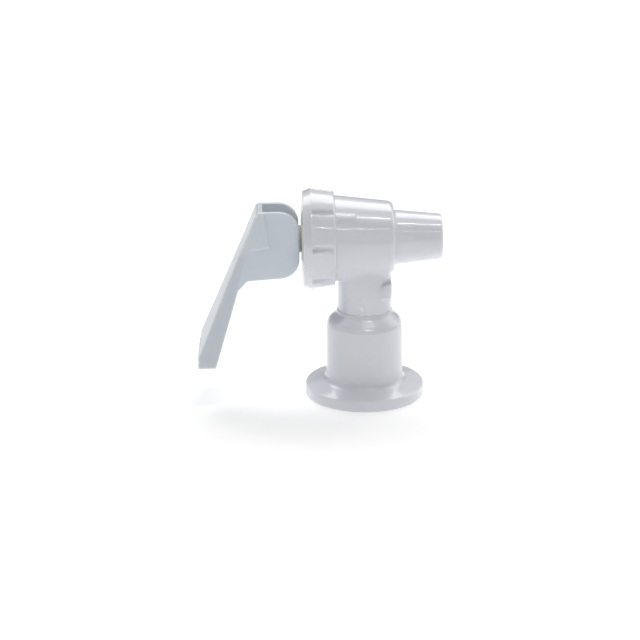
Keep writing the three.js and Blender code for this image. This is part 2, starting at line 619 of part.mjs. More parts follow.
// ---- assembly --------------------------------------------------------------------------------
const group = new THREE.Group();
group.add(
  mesh('tap_body', tapBody(), WHITE_PLASTIC),
  mesh('mounting_bell', mountingBell(), WHITE_PLASTIC),
  mesh('bell_retaining_ring', bellRetainingRing(), ACETAL),
  mesh('inlet_washer', inletWasher(), RUBBER),
  mesh('flow_straightener', flowStraightener(), ACETAL),
  mesh('bonnet', bonnet(), WHITE_PLASTIC),
  mesh('stem_bush', stemBush(), ACETAL),
  mesh('closing_spring', closingSpring(), STAINLESS),
  mesh('spring_retainer', springRetainer(), ACETAL),
  mesh('seat_cup', seatCup(), SILICONE),
  mesh('valve_stem', valveStem(), ACETAL),
  mesh('pivot_pin', pivotPin(), STAINLESS),
  mesh('lever', lever(), LEVER_PLASTIC),
);

export default group;
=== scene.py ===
# %% [markdown]
# A push-lever dispensing tap, as it stands on its mounting flange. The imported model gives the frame:
# every body, node and joint. This script keeps those places and makes the surfaces that the eye sees:
# turned mouldings, two mouldings with blended corners, a wire spring, and the plastics they are made of.

import bmesh
import bpy
import numpy as np
from mathutils import Matrix, Vector


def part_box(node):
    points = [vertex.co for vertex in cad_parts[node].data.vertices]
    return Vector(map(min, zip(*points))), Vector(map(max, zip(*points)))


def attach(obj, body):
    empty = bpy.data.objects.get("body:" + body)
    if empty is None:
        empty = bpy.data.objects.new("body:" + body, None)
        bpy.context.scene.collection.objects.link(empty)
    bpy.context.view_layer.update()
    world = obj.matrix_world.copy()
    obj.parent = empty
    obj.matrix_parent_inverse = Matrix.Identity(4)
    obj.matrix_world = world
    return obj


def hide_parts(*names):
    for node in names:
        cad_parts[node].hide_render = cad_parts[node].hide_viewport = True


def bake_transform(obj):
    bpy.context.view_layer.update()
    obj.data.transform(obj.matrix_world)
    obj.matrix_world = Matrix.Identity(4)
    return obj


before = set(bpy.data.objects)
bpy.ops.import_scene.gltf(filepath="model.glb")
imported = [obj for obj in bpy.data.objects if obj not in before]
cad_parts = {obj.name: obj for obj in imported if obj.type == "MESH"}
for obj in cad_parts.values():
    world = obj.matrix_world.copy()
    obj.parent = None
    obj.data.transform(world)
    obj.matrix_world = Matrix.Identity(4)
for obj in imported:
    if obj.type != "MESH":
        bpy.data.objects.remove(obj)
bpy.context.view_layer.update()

# %% [markdown]
# Sizes are in millimetres here, because that is how a moulded tap is drawn, and MM turns them into
# Blender's metres when a mesh is made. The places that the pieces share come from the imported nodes'
# boxes, so the surfaces follow the design: the barrel's axis, the pivot, the bonnet and the bell.

# %% Shared places
MM = 0.001
HAIRLINE = 0.05  # gap that shows between two pieces that touch
SEATED = 0.02  # how far a piece's face lies inside the one that it is pressed against


def span(node):
    """Lowest and highest corner of a node, in millimetres."""
    low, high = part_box(node)
    return np.array(low) / MM, np.array(high) / MM


body_low, body_high = span("tap_body")
bonnet_low, bonnet_high = span("bonnet")
bell_high = span("mounting_bell")[1]
pin_low, pin_high = span("pivot_pin")
bush_low, bush_high = span("stem_bush")
lever_low, lever_high = span("lever")
stem_low, stem_high = span("valve_stem")
cup_low, cup_high = span("seat_cup")
retainer_low, retainer_high = span("spring_retainer")
spring_low, spring_high = span("closing_spring")
straightener_low, straightener_high = span("flow_straightener")
ring_low, ring_high = span("bell_retaining_ring")
washer_low, washer_high = span("inlet_washer")

AXIS = (pin_low[2] + pin_high[2]) / 2
PIVOT = (pin_low[0] + pin_high[0]) / 2
BELL_TOP = bell_high[2]
SPOUT_TIP = body_high[0]
BARREL_RADIUS = body_high[1]
NOSE = cup_high[0]
print("axis height", round(AXIS, 2), "pivot", round(PIVOT, 2), "spout tip", round(SPOUT_TIP, 2))

# %% [markdown]
# A turned piece is one outline carried round an axis. Real mouldings have no knife edges, so each
# corner of the outline is given with a rounding, and an arc replaces it. Long straight stretches get
# extra points, which keeps the smooth shading honest beside the arcs.

# %% Outlines and turned pieces
ARC_STEPS = 5
FINE = 0.6  # longest straight stretch in an outline


def rounded(corners):
    """Closed outline of [radius, along, rounding] corners, as an array of [radius, along].

    From a corner, the unit vectors u and v point to its neighbours. The arc touches both sides at
    the distance rounding / tan(half the angle between u and v), and turns evenly between them."""
    places = np.array([c[:2] for c in corners], float)
    outline = []
    for i, (_, _, rounding) in enumerate(corners):
        here = places[i]
        u = places[i - 1] - here
        v = places[(i + 1) % len(places)] - here
        length_u, length_v = np.linalg.norm(u), np.linalg.norm(v)
        u, v = u / length_u, v / length_v
        half = np.arccos(np.clip(u @ v, -1, 1)) / 2
        if rounding == 0 or half > 1.56:
            outline.append(here[None])
            continue
        touch = min(rounding / np.tan(half), 0.48 * length_u, 0.48 * length_v)
        middle = here + (u + v) / np.linalg.norm(u + v) * touch / np.cos(half)
        a, b = here + u * touch - middle, here + v * touch - middle
        sweep = np.pi - 2 * half
        s = np.linspace(0, 1, ARC_STEPS + 1)[:, None]
        outline.append(middle + (np.sin((1 - s) * sweep) * a + np.sin(s * sweep) * b) / np.sin(sweep))
    outline = np.concatenate(outline)
    after = np.roll(outline, -1, axis=0)
    fine = []
    for a, b in zip(outline, after):
        count = max(1, int(np.ceil(np.linalg.norm(b - a) / FINE)))
        fine.append(a + (b - a) * (np.arange(count) / count)[:, None])
    return np.concatenate(fine)


def finished(name, vertices, faces, smooth=35):
    """A mesh object from points in millimetres: doubles merged, faces outward, smooth up to an angle."""
    used = np.unique(faces)
    data = bpy.data.meshes.new(name)
    data.from_pydata((vertices[used] * MM).tolist(), [], np.searchsorted(used, faces).tolist())
    work = bmesh.new()
    work.from_mesh(data)
    bmesh.ops.remove_doubles(work, verts=work.verts, dist=1e-7)
    bmesh.ops.dissolve_degenerate(work, edges=work.edges, dist=1e-8)
    bmesh.ops.recalc_face_normals(work, faces=work.faces)
    open_edges = sum(1 for e in work.edges if not e.is_manifold)
    work.to_mesh(data)
    work.free()
    data.polygons.foreach_set("use_smooth", np.ones(len(data.polygons), bool))
    data.set_sharp_from_angle(angle=np.radians(smooth))
    piece = bpy.data.objects.new(name, data)
    bpy.context.scene.collection.objects.link(piece)
    triangles = sum(len(p.vertices) - 2 for p in data.polygons)
    print(f"{name}: {triangles} triangles, {open_edges} open edges")
    return piece


def wrapped(rows, columns, close_rows=True):
    """Quads of a grid whose columns close on themselves, and its rows too where close_rows."""
    last = rows if close_rows else rows - 1
    i, j = np.meshgrid(np.arange(last), np.arange(columns), indexing="ij")
    i, j = i.ravel(), j.ravel()
    up, on = (i + 1) % rows, (j + 1) % columns
    return np.stack([i * columns + j, up * columns + j, up * columns + on, i * columns + on], 1)


def turned(name, corners, axis, columns=160, dent=None, smooth=35):
    """A piece turned round the barrel's axis ("x"), the neck's ("z") or the pin's ("y").

    Each outline point (r, h) becomes the circle r cos t, r sin t at the height h. Where dent is
    given, r is less by dent(r, h, t). Stretches of the outline on the axis itself make no faces."""
    outline = rounded(corners)
    t = np.arange(columns) * 2 * np.pi / columns
    r = outline[:, :1] + 0 * t
    h = outline[:, 1:] + 0 * t
    angle = t + 0 * r
    if dent is not None:
        r = r - dent(r, h, angle)
    c, s = r * np.cos(angle), r * np.sin(angle)
    if axis == "x":
        points = np.stack([h, c, s + AXIS], 2)
    elif axis == "y":
        points = np.stack([PIVOT + c, h, s + AXIS], 2)
    else:
        points = np.stack([c, s, h], 2)
    on_axis = outline[:, 0] < 1e-6
    idle = np.repeat(on_axis & np.roll(on_axis, -1), columns)
    return finished(name, points.reshape(-1, 3), wrapped(len(outline), columns)[~idle], smooth)


# %% [markdown]
# The mounting bell is one polypropylene moulding: a wide flange that stands against the container's
# wall, a concave fillet, a straight sleeve with a little draft, and a soft shoulder up to the neck.
# A lathe is the natural way, because everything on it is round.

# %% Mounting bell
SLEEVE = 14.5  # radius of the sleeve's foot
SLEEVE_TOP = 14.25
SLEEVE_INSIDE = 12.2
SHOULDER = BELL_TOP - 5.9
NECK = 10.0
LAND = NECK + 0.4
SPIGOT = 9.6
SPIGOT_PLAY = 0.3
ROOF = 5.1
FLANGE = bell_high[0]
FLANGE_RIM = 4.2
FLANGE_RISE = 2.1

bell = turned("mounting_bell_moulding", [
    [SLEEVE_INSIDE, 0, 0.4],
    [FLANGE, 0, 0.5],
    [FLANGE, FLANGE_RIM, 0.7],
    [SLEEVE, FLANGE_RIM + FLANGE_RISE, 2.6],
    [SLEEVE_TOP, SHOULDER, 0.9],
    [SLEEVE_TOP - 0.4, SHOULDER + 1.25, 1.2],
    [SLEEVE_TOP - 1.05, SHOULDER + 2.3, 1.5],
    [LAND + 0.4, BELL_TOP - 1.5, 1.2],
    [LAND, BELL_TOP, 0.03],
    [SPIGOT + SPIGOT_PLAY, BELL_TOP, 0],
    [SPIGOT + SPIGOT_PLAY, BELL_TOP - ROOF, 0],
    [SLEEVE_INSIDE, BELL_TOP - ROOF, 0.8],
], "z", columns=200)

# %% [markdown]
# The bonnet is the screwed cap over the valve chamber. Its outside is grooved for grip. The grooves'
# floors run level while the cap tapers outwards to the front, so a groove deepens until it ends in a
# round nose. Here the grooves are a dent in the turned surface, round across the groove, and measured
# by the distance from the groove's centre line.

# %% Bonnet
BONNET_REAR_RADIUS = BARREL_RADIUS + 1.5
BONNET_RADIUS = BONNET_REAR_RADIUS + 1.3
BONNET_LAND, BONNET_REAR = bonnet_low[0] + 0.5, bonnet_high[0] + 0.32
BONNET_RIM = BONNET_LAND + 0.6
BONNET_FRONT = BONNET_RIM + 3.0
BONNET_INSIDE = bonnet_low[0] + 3.3
BUSH_HOLE = 3.7
COLLAR = 14.8  # radius of the collar that the bonnet screws on to
COLLAR_PLAY = 0.3
SEAT_DEPTH = 0.7  # how far the barrel goes into the bonnet's rear
GROOVES = 8
GROOVE_HALF = 1.5
GROOVE_DEPTH = 1.9  # at the front; it fades to nothing at the rear
GROOVE_TURN = np.radians(3)
GROOVE_STOP = 0.6  # distance from the bonnet's rear at which a groove has faded out
DOME_START = 10.5  # radius from which the front falls back


def grip_grooves(r, h, t):
    """Depth of the grip grooves at a point of the bonnet.

    Across a groove the depth falls as 1 - (distance / half width)^2, and along it as the root of
    the distance that is left to the bonnet's rear."""
    pitch = 2 * np.pi / GROOVES
    turn = np.mod(t + GROOVE_TURN - np.pi + pitch / 2, pitch) - pitch / 2
    ahead = np.maximum(BONNET_FRONT + GROOVE_HALF - h, 0)
    distance = np.hypot(turn * r, ahead)
    side = np.clip(1 - (distance / GROOVE_HALF) ** 2, 0, 1)
    rest = np.clip((BONNET_REAR - GROOVE_STOP - h) / (BONNET_REAR - BONNET_FRONT), 0, 1)
    outside = r > COLLAR + 1.2
    return outside * GROOVE_DEPTH * np.sqrt(rest) * side


ARC_STEPS, FINE = 6, 0.3
bonnet = turned("bonnet_moulding", [
    [BUSH_HOLE, BONNET_LAND, 0.2],
    [DOME_START, BONNET_LAND, 3],
    [BONNET_RADIUS - 1.17, BONNET_RIM, 0.5],
    [BONNET_RADIUS, BONNET_FRONT, 0.6],
    [BONNET_REAR_RADIUS, BONNET_REAR, 0.8],
    [BARREL_RADIUS, BONNET_REAR, 0],
    [BARREL_RADIUS, BONNET_REAR - SEAT_DEPTH, 0],
    [COLLAR + COLLAR_PLAY, BONNET_REAR - SEAT_DEPTH, 0.1],
    [COLLAR + COLLAR_PLAY, BONNET_INSIDE, 0.5],
    [BUSH_HOLE, BONNET_INSIDE, 0.2],
], "x", columns=400, dent=grip_grooves, smooth=50)
ARC_STEPS, FINE = 5, 0.6

# %% [markdown]
# Behind the bonnet sit small turned pieces. The bush guides the stem and shows between the lever's
# cheeks. The washer seals the container's stud. The retainer takes the spring's push and holds the
# stem's head. The pin joins lever and stem. Each is one outline with rounded corners.

# %% Small turned pieces
STEM = 2.2  # radius
PIN = 1.5  # radius
BORE_PLAY = 0.3  # between a bore and what goes through it, in radius
BUSH_FLANGE = bush_high[1]
WASHER_HOLE = 3.0
BUSH_NECK = BUSH_HOLE - 0.3
EASE = 0.3

bush = turned("stem_bush_turning", [
    [STEM + BORE_PLAY, bush_low[0], 0.2],
    [BUSH_FLANGE, bush_low[0], 0.5],
    [BUSH_FLANGE, BONNET_LAND - HAIRLINE, 0.15],
    [BUSH_NECK, BONNET_LAND - HAIRLINE, 0],
    [BUSH_NECK, bush_high[0], 0.2],
    [STEM + BORE_PLAY, bush_high[0], 0.2],
], "x", columns=96)

washer = turned("inlet_washer_ring", [
    [WASHER_HOLE, washer_low[2], 0.2],
    [washer_high[0], washer_low[2], 0.3],
    [washer_high[0], washer_high[2], 0.3],
    [WASHER_HOLE, washer_high[2], 0.2],
], "z", columns=96)

pin = turned("pivot_pin_rod", [
    [0, pin_low[1], 0],
    [PIN, pin_low[1], 0.35],
    [PIN, pin_high[1], 0.35],
    [0, pin_high[1], 0],
], "y", columns=64)

HEAD = 3.6  # radius of the stem's head
RETAINER_FLANGE, RETAINER_PLUG = 1.8, 5.0  # the flange's thickness and the plug's radius
HEAD_START, HEAD_END = stem_high[0] - 2.2, stem_high[0]
retainer = turned("spring_retainer_plug", [
    [STEM + BORE_PLAY, retainer_low[0], 0.3],
    [retainer_high[1], retainer_low[0], 0.3],
    [retainer_high[1], retainer_low[0] + RETAINER_FLANGE, 0.3],
    [RETAINER_PLUG, retainer_low[0] + RETAINER_FLANGE, 0.4],
    [RETAINER_PLUG, retainer_high[0], 0.5],
    [0, retainer_high[0], 0],
    [0, HEAD_END + EASE, 0],
    [HEAD + EASE, HEAD_END + EASE, 0.2],
    [HEAD + EASE, HEAD_START - EASE, 0.2],
    [STEM + BORE_PLAY, HEAD_START - EASE, 0.2],
], "x", columns=96)

# %% [markdown]
# The seat cup is moulded silicone: its rim is clamped under the bonnet, its nose closes the seat, and
# the sleeve between them rolls as the valve lifts. So its mesh must bend. Here it is turned like the
# rest and rides on no body; its place is baked into the mesh.

# %% Seat cup
CUP = 9.0
CUP_WALL = 1.0
CUP_RIM = 0.8  # thickness of the clamped rim
SEAT = 7.0
NOSE_INSIDE, NOSE_WALL = 5.3, 1.2
cup_step = retainer_low[0] + RETAINER_FLANGE + EASE
cup = turned("seat_cup_silicone", [
    [CUP - CUP_WALL, cup_low[0], 0.2],
    [cup_high[1], cup_low[0], 0.25],
    [cup_high[1], cup_low[0] + CUP_RIM, 0.25],
    [CUP, cup_low[0] + CUP_RIM, 0.4],
    [CUP, cup_step + CUP_WALL, 2.0],
    [SEAT, NOSE - NOSE_WALL, 0.6],
    [SEAT - 0.3, NOSE, 0.4],
    [0, NOSE, 0],
    [0, NOSE - NOSE_WALL, 0],
    [NOSE_INSIDE, NOSE - NOSE_WALL, 0.3],
    [NOSE_INSIDE, cup_step, 0.3],
    [CUP - CUP_WALL, cup_step, 0.8],
], "x", columns=144)

# %% [markdown]
# The closing spring is hard-drawn stainless wire. A real compression spring has its end turns wound
# close and nearly flat, so it seats square. The wire is a circle carried along a helix, whose pitch
# fades at both ends, and the ends are closed by drawing the last circle to a point.

# %% Closing spring
WIRE = 0.9
COIL = spring_high[1] - WIRE / 2
TURNS = 7
CLOSE_TURNS = 0.9
END_RATE = 0.32  # pitch of the closed turns, as a share of the open ones
WIRE_SIDES = 14
STEPS = TURNS * 44  # circles along the wire


def wire_spring(name, start, end):
    """A wire of circles along a helix about the barrel's axis.

    The distance along the axis grows with the share of turns, slowly over the first and last turn
    and evenly between. The circle's plane holds the radius and the cross product of radius and path."""
    turn = np.linspace(0, TURNS, STEPS)
    rate = np.clip(np.minimum(turn, TURNS - turn) / CLOSE_TURNS, END_RATE, 1)
    travel = np.concatenate([[0], np.cumsum((rate[1:] + rate[:-1]) / 2)])
    along = start + (end - start) * travel / travel[-1]
    angle = 2 * np.pi * turn
    centre = np.stack([along, COIL * np.cos(angle), COIL * np.sin(angle)], 1)
    radial = np.stack([0 * angle, np.cos(angle), np.sin(angle)], 1)
    path = np.gradient(centre, axis=0)
    path /= np.linalg.norm(path, axis=1)[:, None]
    other = np.cross(path, radial)
    thick = np.full(STEPS, WIRE / 2)
    thick[[0, -1]] = 0
    thick[[1, -2]] = WIRE / 2.6
    around = np.arange(WIRE_SIDES) * 2 * np.pi / WIRE_SIDES
    circle = radial[:, None] * np.cos(around)[:, None] + other[:, None] * np.sin(around)[:, None]
    points = centre[:, None] + circle * thick[:, None, None]
    points[..., 2] += AXIS
    return finished(name, points.reshape(-1, 3), wrapped(STEPS, WIRE_SIDES, False), 60)


spring = wire_spring("closing_spring_wire", spring_low[0] + WIRE / 2, spring_high[0] - WIRE / 2)

# %% [markdown]
# The body and the lever are not round: a neck runs into a barrel, cheeks run into a flared paddle, and
# every such junction is blended on the real mouldings. Grids over each face would leave seams there, so
# they are made another way. A formula gives the distance to the surface, negative inside, and a net of
# points is laid where it crosses zero. Shapes are joined and cut by combining their distances, and the
# combining formulas carry the radius of the fillet or of the rounded edge.

# %% Distance fields
def meet(a, b, radius=0.0):
    """What two shapes share, with a rounded edge: inside the edge zone, the length of both overshoots."""
    if radius == 0:
        return np.maximum(a, b)
    over = np.hypot(np.maximum(a + radius, 0), np.maximum(b + radius, 0))
    return np.minimum(np.maximum(a, b), -radius) + over


def join(a, b, radius=0.0):
    """Two shapes together, with a fillet of that radius between them."""
    return -meet(-a, -b, radius)


def cut(a, b, radius=0.0):
    """The first shape without the second."""
    return meet(a, -b, radius)


def between(value, low, high):
    """Distance to a flat slice from low to high."""
    return np.maximum(low - value, value - high)


def cone(radial, along, first, last):
    """Distance to an endless cone through two (radius, along) points."""
    slope = (last[0] - first[0]) / (last[1] - first[1])
    return (radial - first[0] - slope * (along - first[1])) / np.hypot(1, slope)


def netted(name, field, low, high, cell, smooth=40):
    """The closed surface where field(x, y, z) is zero, by surface nets.

    Each grid cell that the surface passes through gets one point, at the mean of the crossings on
    its twelve edges. Four Newton steps, p - f * gradient / |gradient|^2, then put it on the surface.
    Each grid edge that is crossed joins the points of the four cells around it."""
    low, high = np.array(low, float) - 2 * cell, np.array(high, float) + 2 * cell
    counts = np.ceil((high - low) / cell).astype(int) + 1
    ticks = [low[k] + cell * np.arange(counts[k]) for k in range(3)]
    value = field(*np.meshgrid(*ticks, indexing="ij")) + 1e-7
    inside = value < 0
    cells = counts - 1
    total, hits = np.zeros([*cells, 3]), np.zeros(cells)
    for k in range(3):
        for corner in range(4):
            first = np.zeros(3, int)
            first[(k + 1) % 3], first[(k + 2) % 3] = corner & 1, corner >> 1
            second = first.copy()
            second[k] = 1
            a = value[tuple(slice(f, f + c) for f, c in zip(first, cells))]
            b = value[tuple(slice(f, f + c) for f, c in zip(second, cells))]
            crossed = (a < 0) != (b < 0)
            share = np.where(crossed, a / np.where(crossed, a - b, 1), 0)
            offset = np.zeros([*cells, 3])
            offset += first
            offset[..., k] = share
            total += offset * crossed[..., None]
            hits += crossed
    used = hits > 0
    index = np.full(cells, -1)
    index[used] = np.arange(used.sum())
    points = low + cell * (np.argwhere(used) + total[used] / hits[used][:, None])
    points = settled(field, points, cell)
    faces = []
    for k in range(3):
        u, v = (k + 1) % 3, (k + 2) % 3
        before = [slice(None)] * 3
        behind = [slice(None)] * 3
        before[k], behind[k] = slice(0, -1), slice(1, None)
        a, b = inside[tuple(before)], inside[tuple(behind)]
        place = np.argwhere(a != b)
        going_out = a[tuple(place.T)]
        quad = []
        for du, dv in ((0, 0), (-1, 0), (-1, -1), (0, -1)):
            near = place.copy()
            near[:, u] += du
            near[:, v] += dv
            quad.append(index[tuple(near.T)])
        quad = np.stack(quad, 1)
        quad[~going_out] = quad[~going_out][:, ::-1]
        faces.append(quad)
    return finished(name, points, np.concatenate(faces), smooth)


NEWTON_STEPS = 4
LEAST_STEEP = 0.05  # smallest squared gradient that a step divides by


def settled(field, points, cell):
    """Points moved on to the surface by Newton steps, none further than half a cell."""
    start = points.copy()
    step = 0.02
    for _ in range(NEWTON_STEPS):
        value = field(*points.T)
        slope = np.stack([
            field(*(points + step * np.eye(3)[k]).T) - field(*(points - step * np.eye(3)[k]).T)
            for k in range(3)
        ], 1) / (2 * step)
        steep = np.maximum((slope ** 2).sum(1), LEAST_STEEP)
        points = points - (value / steep)[:, None] * slope
        points = start + np.clip(points - start, -0.5 * cell, 0.5 * cell)
    return points


# %% [markdown]
# The tap body is one thick polypropylene moulding. Outside there is the tapered barrel, the spout, the
# neck with a flat-faced lug, two short marks beside the bonnet, and the collar that the bonnet screws on
# to. Inside there are the valve chamber with its raised seat, the outlet, the inlet and its thread.

# %% Tap body
NECK_TO_BONNET = 11.3
FLARE_HEIGHT = 0.9  # in which the neck's foot loses two thirds of its extra radius
BARREL_END = 10.8
BARREL_END_RADIUS = 13.45
SPOUT_ROOT, SPOUT_NOSE = 10.27, 8.45
COLLAR_START = body_low[0]
SPIGOT_FOOT = body_low[2]
LUG_X, LUG_HALF, LUG_LOW, LUG_HIGH = 9.75, 8.4, BELL_TOP + 5.85, BELL_TOP + 11.75
MARK_ANGLE, MARK_LENGTH, MARK_HALF = np.radians(46), 7.2, 0.75
MARK_ROOT, MARK_RISE = 3, 0.3  # below and above the barrel's largest radius
RIDGE_SHARE = 0.8  # how much of the thread's height is drawn
CHAMBER, CHAMBER_END = 11.5, 7.0
OUTLET, TIP_BORE, TIP_DEPTH = 5.0, 6.4, 8.6
INLET, SOCKET, SOCKET_TOP = 3.8, 5.5, 23.0
THREAD_PITCH, THREAD_HEIGHT = 2.0, 0.6
RING_TOP = BELL_TOP - ROOF - 0.3
RING_GROOVE, RING_GROOVE_DEPTH = (RING_TOP - 1.5, RING_TOP + 0.3), 0.8
LIP_HEIGHT = 0.8  # how far the raised seat stands into the chamber
OUTLET_END = SPOUT_TIP - 4
THREAD_START, THREAD_END = SPIGOT_FOOT + 1, SOCKET_TOP - 2.5


def tap_field(x, y, z):
    """Distance to the tap body's surface."""
    up = z - AXIS
    round_x, round_z = np.hypot(y, up), np.hypot(x, y)
    barrel = cone(round_x, x, (BARREL_RADIUS, -NECK_TO_BONNET), (BARREL_END_RADIUS, BARREL_END))
    barrel = meet(barrel, x - BARREL_END, 1.9)
    barrel = meet(barrel, BONNET_REAR - SEAT_DEPTH + HAIRLINE - x)
    spout = cone(round_x, x, (SPOUT_ROOT, BARREL_END), (SPOUT_NOSE, SPOUT_TIP))
    spout = meet(spout, between(x, 0, SPOUT_TIP), 0.55)
    shape = join(barrel, spout, 0.7)
    flare = (LAND - NECK) * np.exp(-np.abs(z - BELL_TOP) / FLARE_HEIGHT)
    neck = meet(round_z - NECK - flare, between(z, BELL_TOP - SEATED, AXIS))
    corner = meet(LUG_X - LUG_HALF / 2 - x, z - LUG_HIGH, 2.6)
    lug = meet(meet(corner, np.maximum(LUG_LOW - z, x - LUG_X), 0.4), np.abs(y) - LUG_HALF, 0.6)
    shape = join(shape, join(neck, lug, 0.9), 0.9)
    side = np.abs(y) * np.cos(MARK_ANGLE) + up * np.sin(MARK_ANGLE)
    across = np.abs(y) * np.sin(MARK_ANGLE) - up * np.cos(MARK_ANGLE)
    mark = between(x, -NECK_TO_BONNET, MARK_LENGTH - NECK_TO_BONNET)
    mark = meet(mark, np.abs(across) - MARK_HALF, 0.4)
    mark = meet(mark, between(side, BARREL_RADIUS - MARK_ROOT, BARREL_RADIUS + MARK_RISE), 0.4)
    shape = join(shape, mark, 0.6)
    spigot = meet(round_z - SPIGOT, between(z, SPIGOT_FOOT, AXIS), 0.3)
    groove = meet(between(z, *RING_GROOVE), SPIGOT - RING_GROOVE_DEPTH - round_z)
    shape = join(shape, cut(spigot, groove, 0.1))
    shape = join(shape, meet(round_x - COLLAR, between(x, COLLAR_START, 0), 0.4), 0.2)
    chamber = meet(round_x - CHAMBER, x - CHAMBER_END, 0.8)
    lip = meet(np.maximum(OUTLET - round_x, round_x - SEAT), CHAMBER_END - LIP_HEIGHT - x, 0.25)
    hollow = cut(chamber, lip)
    hollow = join(hollow, meet(round_x - OUTLET, between(x, 0, OUTLET_END)), 0.3)
    hollow = join(hollow, meet(round_x - TIP_BORE, SPOUT_TIP - TIP_DEPTH - x, 0.3), 0.3)
    hollow = join(hollow, meet(round_z - INLET, between(z, 0, AXIS)), 0.4)
    ridge = (np.mod(z / THREAD_PITCH - np.arctan2(y, x) / (2 * np.pi), 1) - 0.5) * THREAD_PITCH
    threaded = between(z, THREAD_START, THREAD_END) < 0
    rise = np.where(threaded, np.maximum(THREAD_HEIGHT - np.abs(ridge), 0), 0) * RIDGE_SHARE
    hollow = join(hollow, meet(round_z - SOCKET + rise, z - SOCKET_TOP, 0.3), 0.2)
    return cut(shape, hollow, 0.35)


tap = netted("tap_body_moulding", tap_field, body_low, body_high, 0.52)

# %% [markdown]
# The lever is a cooler white ABS moulding. Two flat cheeks with cam-shaped ends straddle the stem, and
# run into a paddle that leans out and flares to a thumb-wide tip. Its sides are flanged, a raised plate
# stiffens each cheek, and a strip slopes from flange to cheek. Short ribs on the tip give grip. All of
# it is flat faces met at rounded edges, which distances to planes say in a few lines.

# %% Lever
CAM_REACH = lever_high[0] - PIVOT
CHEEK_TOP = lever_high[2] - AXIS
CHEEK_BOTTOM, CHEEK_DROP, CHEEK_ROOT = -13.3, 0.8, -10.3
CHEEK_CORNER, HEEL = 7.6, 7.4
CHEEK_HALF, CHEEK_WALL, PLATE_HALF = 7.65, 1.9, 8.15
PADDLE_TOP, PADDLE_FRONT = 12.0, -7.15
LEAN, TIP_LEAN, BACK_LEAN = np.tan(np.radians(23)), 0.11, 0.31
CREASE, TIP = -40.8, lever_low[2] - AXIS
TIP_HALF, BACK_TIP = lever_high[1], -23.3
FLARE_START, LEDGE, WALL = -4.0, -1.3, 2.0
LEDGE_FALL = 0.143  # slope of the plate's lower edge
PLATE_BACK = (-4.1, -2.4)
FOOT = CHEEK_BOTTOM - 3.4
RIB_PITCH, RIB_WIDTH, RIB_HEIGHT = 4.4, 1.4, 0.3
RIB_LOW, RIB_HIGH = TIP + 0.8, CREASE - 0.8
OUTER_FALL, INNER_START, INNER_FALL = 0.85, 3.1, 1.5  # the flange's rear slope, from its rear edge
END_SLOPE, END_AT, END_BELOW = 0.82, -10.6, 0.4  # the falling line that ends the slope
END_SCALE = 0.77  # one over the length of (1, END_SLOPE), which makes its formula a distance
FLARE = (TIP_HALF - PLATE_HALF) / (FLARE_START - TIP)


def lever_field(x, y, z):
    """Distance to the lever's surface, from planes placed about the pivot."""
    x, z, y = x - PIVOT, z - AXIS, np.abs(y)
    face = PADDLE_FRONT - LEAN * (PADDLE_TOP - z)
    tip_face = PADDLE_FRONT - LEAN * (PADDLE_TOP - CREASE) - TIP_LEAN * (CREASE - z)
    half = PLATE_HALF + FLARE * np.maximum(FLARE_START - z, 0)
    front = meet((face - x) / np.hypot(1, LEAN), tip_face - x, 0.4)
    sides = meet((y - half) / np.hypot(1, FLARE), TIP - z, 1.2)
    outside = meet(meet(front, sides, 0.5), z - PADDLE_TOP, 1.0)
    shape = join(side_flanges(x, y, z, outside, half), side_plates(x, y, z, outside), 0.1)
    slab = meet(x - CAM_REACH, z - CHEEK_TOP, CHEEK_CORNER)
    fall = CHEEK_DROP / (CAM_REACH - HEEL - CHEEK_ROOT)
    bottom = CHEEK_BOTTOM + fall * np.minimum(x - CAM_REACH + HEEL, 0)
    slab = meet(slab, bottom - z, HEEL)
    slab = meet(slab, face + 0.6 - x)
    shape = join(shape, meet(slab, y - CHEEK_HALF, 0.6), 0.3)
    hole = meet(face + WALL * np.hypot(1, LEAN) - x, TIP + WALL - z, 0.8)
    narrow = CHEEK_HALF - CHEEK_WALL
    share = np.clip((CHEEK_BOTTOM - z) / (CHEEK_BOTTOM - FOOT), 0, 1)
    hole = meet(hole, y - narrow - (half - WALL - narrow) * share, 0.5)
    shape = cut(shape, hole, 0.4)
    shape = cut(shape, meet(np.hypot(x, z) - PIN - 0.3, y - narrow - 1.25), 0.1)
    return join(shape, grip_ribs(x, y, z, tip_face), 0.2)


def side_flanges(x, y, z, outside, half):
    """The paddle with its side flanges.

    Beside the cheeks, the flange's rear edge slopes inwards to the cheek. The slope is the plane
    through an outer line at (outer, half) and an inner one at (inner, cheek). It ends below at a
    line that falls towards the paddle."""
    back = BACK_TIP + BACK_LEAN * (z - TIP)
    climb = np.maximum(z - FOOT, 0) / (LEDGE - FOOT)
    outer, inner = back - OUTER_FALL * climb, back + INNER_START - INNER_FALL * climb
    core = meet(outside, meet((x - outer) / np.hypot(1, BACK_LEAN), z - LEDGE), 0.4)
    slope = (x - outer) * (half - CHEEK_HALF) + (y - half) * (inner - outer)
    slope = slope / np.hypot(half - CHEEK_HALF, inner - outer)
    end = (CHEEK_BOTTOM - END_BELOW + END_SLOPE * (x - END_AT) - z) * END_SCALE
    wedge = meet(meet(outside, slope, 0.3), meet(end, z - LEDGE), 0.3)
    return join(core, wedge, 0.2)


def side_plates(x, y, z, outside):
    """The raised plates: the paddle's outside, in front of a leaning line and above a falling one.

    Both edges slope down to the cheek, as wide as they are high."""
    lean = (PLATE_BACK[1] - PLATE_BACK[0]) / (LEDGE - PADDLE_TOP)
    slope = y - CHEEK_HALF
    rear = x - PLATE_BACK[1] - lean * (z - LEDGE) + slope
    ledge = LEDGE + LEDGE_FALL * (x - PLATE_BACK[1]) - z + slope
    return meet(outside, meet(rear, ledge, 0.3) / np.sqrt(2), 0.15)


